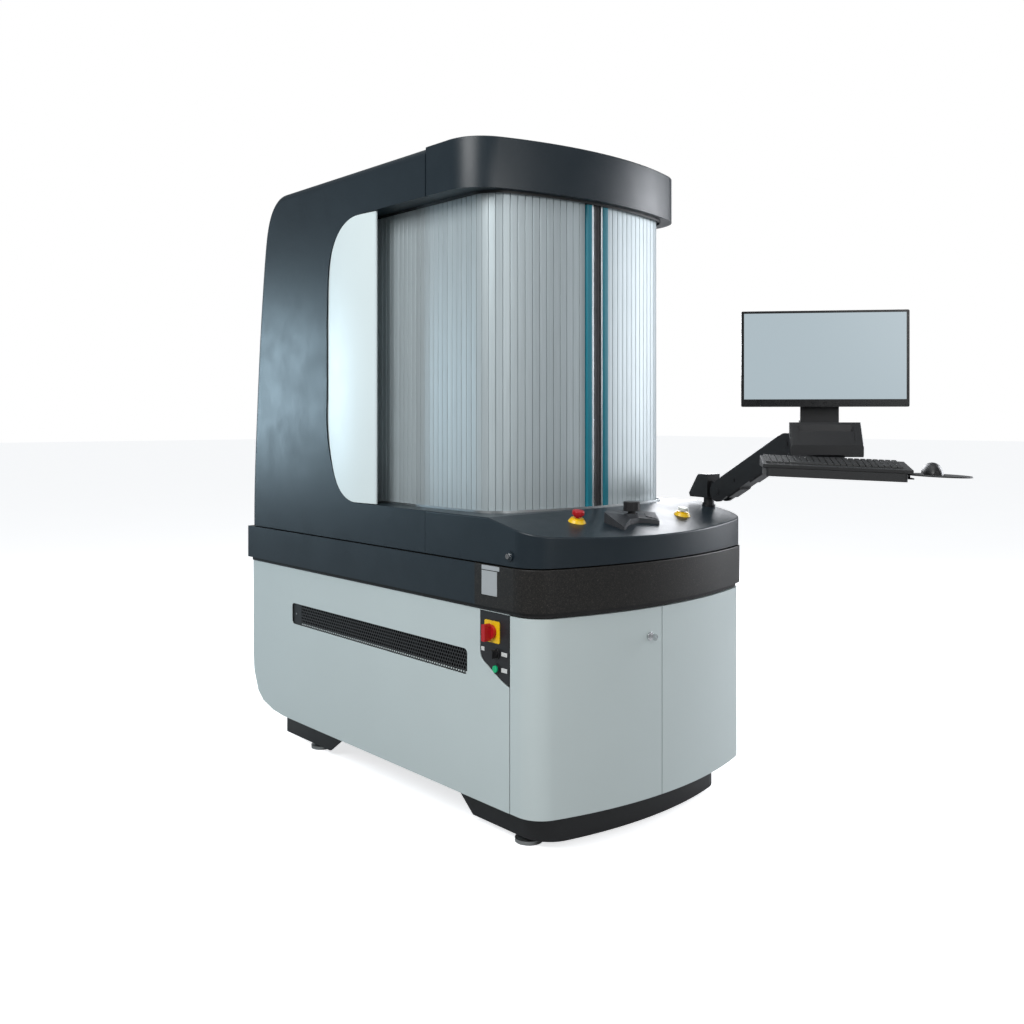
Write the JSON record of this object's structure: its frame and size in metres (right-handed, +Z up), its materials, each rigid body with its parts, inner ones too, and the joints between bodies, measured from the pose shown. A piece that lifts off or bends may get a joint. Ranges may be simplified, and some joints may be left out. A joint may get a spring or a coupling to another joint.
{
  "type": "coordinate measuring machine",
  "caption": "Floor-standing measuring machine: granite bed on a grey cabinet, dark cover with slatted curtain doors, joystick console, and a screen, keyboard and mouse on a swing arm.",
  "frame": {"origin": "on the floor, under the middle of the granite base in plan", "axes": "+X to the machine's right as seen by someone standing in front of it, +Y from the front doors to the rear, +Z up"},
  "size_m": [1.1891, 2.619, 2.214],
  "materials": {
    "structure_black": "satin",
    "cover_blue": "satin",
    "panel_grey": "satin",
    "foot_steel": "satin",
    "isolator_rubber": "matte",
    "mesh_black": "satin",
    "granite": "polished",
    "guide_steel": "polished",
    "slat_aluminium": "satin anodised",
    "rail_aluminium": "satin",
    "edge_teal": "satin",
    "accent_white": "satin",
    "bracket_steel": "satin",
    "drum_aluminium": "satin",
    "bridge_aluminium": "satin",
    "ram_ceramic": "satin",
    "probe_grey": "satin",
    "table_steel": "machined",
    "equipment_grey": "satin",
    "fan_black": "matte",
    "switch_yellow": "gloss",
    "switch_red": "gloss",
    "switch_green": "gloss",
    "button_white": "gloss",
    "plastic_black": "matte",
    "console_grey": "matte",
    "lock_chrome": "polished",
    "arm_black": "satin",
    "neck_black": "satin",
    "screen_light": "gloss",
    "keys_black": "matte"
  },
  "bodies": {
    "frame": {"base_frame": "structure_black", "levelling_feet": "foot_steel", "isolators_and_gasket": "isolator_rubber", "floor_plinths": "structure_black", "side_panels": "panel_grey", "vent_grilles": "mesh_black", "control_inset_panel": "structure_black", "yellow_switch_bases": "switch_yellow", "granite_base": "granite", "guideways_and_inserts": "guide_steel", "skirt_band": "cover_blue", "worktop_apron": "cover_blue", "rear_cover": "cover_blue", "rear_panels": "cover_blue", "canopy": "cover_blue", "accent_panels": "accent_white", "inner_brackets": "bracket_steel", "curtain_side_runs": "slat_aluminium", "left_curtain_front_run": "slat_aluminium", "right_curtain_front_run": "slat_aluminium", "curtain_rails": "rail_aluminium", "rotary_table_base": "table_steel", "cabinet_equipment": "equipment_grey", "fan_frame": "fan_black", "console_housing": "console_grey", "arm_post": "arm_black"},
    "left_door": {"left_front_door": "panel_grey"},
    "right_door": {"right_front_door": "panel_grey"},
    "door_lock": {"door_lock_and_key": "lock_chrome"},
    "left_curtain": {"left_curtain_edge": "edge_teal"},
    "right_curtain": {"right_curtain_edge": "edge_teal"},
    "left_drum": {"left_winding_drum": "drum_aluminium"},
    "right_drum": {"right_winding_drum": "drum_aluminium"},
    "bridge": {"measuring_bridge": "bridge_aluminium"},
    "carriage": {"x_carriage": "bridge_aluminium"},
    "ram": {"z_ram": "ram_ceramic"},
    "probe_rotor": {"probe_rotary_body": "probe_grey"},
    "probe_tilter": {"probe_tilt_body": "probe_grey"},
    "platter": {"rotary_table_platter": "table_steel"},
    "fan": {"fan_rotor": "fan_black"},
    "joystick_ring": {"joystick_gimbal": "foot_steel"},
    "joystick_lever": {"joystick_stick": "plastic_black"},
    "joystick_cap": {"joystick_knob": "plastic_black"},
    "stop_button": {"emergency_stop_button": "switch_red"},
    "ack_button": {"acknowledge_button": "button_white"},
    "main_switch": {"main_switch_handle": "switch_red"},
    "selector": {"selector_knob": "plastic_black"},
    "green_button": {"start_button": "switch_green"},
    "worktop_lock": {"apron_lock_barrel": "lock_chrome"},
    "arm_base": {"arm_swivel_housing": "arm_black"},
    "lift_arm": {"arm_link": "arm_black"},
    "arm_head": {"arm_head_block": "arm_black"},
    "screen_neck": {"monitor_neck": "neck_black"},
    "monitor": {"monitor_shell": "plastic_black", "monitor_screen": "screen_light"},
    "tray": {"keyboard_tray": "plastic_black", "keyboard": "keys_black"},
    "mouse_plate": {"mouse_platform": "plastic_black"},
    "mouse": {"mouse_body": "plastic_black"},
    "wheel": {"mouse_wheel": "plastic_black"}
  },
  "joints": [
    {"name": "left_door_hinge", "type": "hinge", "parent": "frame", "child": "left_door", "pos_m": [-0.494, -0.74, 0.42], "axis": [0, 0, -1], "range_deg": [0, 90]},
    {"name": "right_door_hinge", "type": "hinge", "parent": "frame", "child": "right_door", "pos_m": [0.494, -0.74, 0.42], "axis": [0, 0, 1], "range_deg": [0, 90]},
    {"name": "door_lock_turn", "type": "hinge", "parent": "left_door", "child": "door_lock", "pos_m": [-0.088, -0.9302, 0.631], "axis": [0, 1, 0], "range_deg": [0, 90]},
    {"name": "left_curtain_travel", "type": "hinge", "parent": "frame", "child": "left_curtain", "pos_m": [0, 0.653, 1.5], "axis": [0, 0, -1], "range_deg": [0, 12.8], "deforming": ["left_curtain_front_run"]},
    {"name": "right_curtain_travel", "type": "hinge", "parent": "frame", "child": "right_curtain", "pos_m": [0, 0.653, 1.5], "axis": [0, 0, 1], "range_deg": [0, 12.8], "deforming": ["right_curtain_front_run"]},
    {"name": "left_drum_spin", "type": "hinge", "parent": "frame", "child": "left_drum", "pos_m": [-0.338, 0.667, 1.5], "axis": [0, 0, -1], "range_deg": [0, 280]},
    {"name": "right_drum_spin", "type": "hinge", "parent": "frame", "child": "right_drum", "pos_m": [0.338, 0.667, 1.5], "axis": [0, 0, 1], "range_deg": [0, 280]},
    {"name": "y_travel", "type": "slide", "parent": "frame", "child": "bridge", "axis": [0, -1, 0], "range_m": [0, 0.5]},
    {"name": "x_travel", "type": "slide", "parent": "bridge", "child": "carriage", "axis": [1, 0, 0], "range_m": [-0.18, 0.18]},
    {"name": "z_travel", "type": "slide", "parent": "carriage", "child": "ram", "axis": [0, 0, -1], "range_m": [0, 0.24]},
    {"name": "probe_rotation", "type": "hinge", "parent": "ram", "child": "probe_rotor", "pos_m": [0, 0.302, 1.36], "axis": [0, 0, 1], "range_deg": [-180, 180]},
    {"name": "probe_tilt", "type": "hinge", "parent": "probe_rotor", "child": "probe_tilter", "pos_m": [0, 0.302, 1.332], "axis": [-1, 0, 0], "range_deg": [0, 105]},
    {"name": "table_spin", "type": "hinge", "parent": "frame", "child": "platter", "pos_m": [0, -0.153, 0.93], "axis": [0, 0, 1], "continuous": true},
    {"name": "fan_spin", "type": "hinge", "parent": "frame", "child": "fan", "pos_m": [-0.25, 0.889, 0.52], "axis": [0, 1, 0], "continuous": true},
    {"name": "joystick_tilt_x", "type": "hinge", "parent": "frame", "child": "joystick_ring", "pos_m": [-0.015, -0.785, 0.98952], "axis": [1, 0, 0], "range_deg": [-10, 10], "stiffness_Nm_per_rad": 0.6},
    {"name": "joystick_tilt_y", "type": "hinge", "parent": "joystick_ring", "child": "joystick_lever", "pos_m": [-0.015, -0.785, 0.98952], "axis": [0, 1, 0], "range_deg": [-10, 10], "stiffness_Nm_per_rad": 0.6},
    {"name": "joystick_twist", "type": "hinge", "parent": "joystick_lever", "child": "joystick_cap", "pos_m": [-0.015, -0.785, 1.025], "axis": [0, 0, 1], "range_deg": [-20, 20], "stiffness_Nm_per_rad": 0.1},
    {"name": "stop_button_press", "type": "slide", "parent": "frame", "child": "stop_button", "axis": [0, 0.2028, -0.9792], "range_m": [0, 0.004]},
    {"name": "ack_button_press", "type": "slide", "parent": "frame", "child": "ack_button", "axis": [0, 0.2028, -0.9792], "range_m": [0, 0.003], "stiffness_N_per_m": 1500, "springref_m": -0.001},
    {"name": "main_switch_turn", "type": "hinge", "parent": "frame", "child": "main_switch", "pos_m": [-0.5, -0.654, 0.6605], "axis": [-1, 0, 0], "range_deg": [0, 90]},
    {"name": "selector_turn", "type": "hinge", "parent": "frame", "child": "selector", "pos_m": [-0.5, -0.673, 0.595], "axis": [-1, 0, 0], "range_deg": [-45, 45]},
    {"name": "start_button_press", "type": "slide", "parent": "frame", "child": "green_button", "axis": [1, 0, 0], "range_m": [0, 0.003], "stiffness_N_per_m": 1500, "springref_m": -0.001},
    {"name": "worktop_lock_turn", "type": "hinge", "parent": "frame", "child": "worktop_lock", "pos_m": [-0.508, -0.746, 0.901], "axis": [-1, 0, 0], "range_deg": [0, 90]},
    {"name": "arm_base_swivel", "type": "hinge", "parent": "frame", "child": "arm_base", "pos_m": [0.482, -0.708, 1.05], "axis": [0, 0, 1], "range_deg": [-15, 75]},
    {"name": "arm_lift", "type": "hinge", "parent": "arm_base", "child": "lift_arm", "pos_m": [0.47214, -0.7773, 1.052], "axis": [-0.99, 0.1409, 0], "range_deg": [-15, 20]},
    {"name": "head_level", "type": "hinge", "parent": "lift_arm", "child": "arm_head", "pos_m": [0.42634, -1.09906, 1.23], "axis": [-0.99, 0.1409, 0], "range_deg": [-20, 15]},
    {"name": "neck_swivel", "type": "hinge", "parent": "arm_head", "child": "screen_neck", "pos_m": [0.51773, -1.14686, 1.29], "axis": [0, 0, 1], "range_deg": [-30, 30]},
    {"name": "monitor_tilt", "type": "hinge", "parent": "screen_neck", "child": "monitor", "pos_m": [0.49903, -1.17583, 1.5], "axis": [0.6468, -0.7627, 0], "range_deg": [-15, 5]},
    {"name": "tray_tilt", "type": "hinge", "parent": "arm_head", "child": "tray", "pos_m": [0.41061, -1.25015, 1.14301], "axis": [0.6463, -0.7621, -0.0393], "range_deg": [-12, 12]},
    {"name": "mouse_plate_swivel", "type": "hinge", "parent": "tray", "child": "mouse_plate", "pos_m": [0.44755, -1.51015, 1.14329], "axis": [0.0254, -0.0299, 0.9992], "range_deg": [-20, 20]},
    {"name": "mouse_slide", "type": "slide", "parent": "mouse_plate", "child": "mouse", "axis": [0.7627, 0.6468, 0], "range_m": [-0.03, 0.03]},
    {"name": "mouse_wheel_turn", "type": "hinge", "parent": "mouse", "child": "wheel", "pos_m": [0.51628, -1.54482, 1.16472], "axis": [0.6463, -0.7621, -0.0393], "continuous": true}
  ],
  "couplings": [
    {"joint": "left_drum_spin", "follows": "left_curtain_travel", "ratio": 21.741},
    {"joint": "right_drum_spin", "follows": "right_curtain_travel", "ratio": 21.741},
    {"joint": "head_level", "follows": "arm_lift", "ratio": -1}
  ]
}
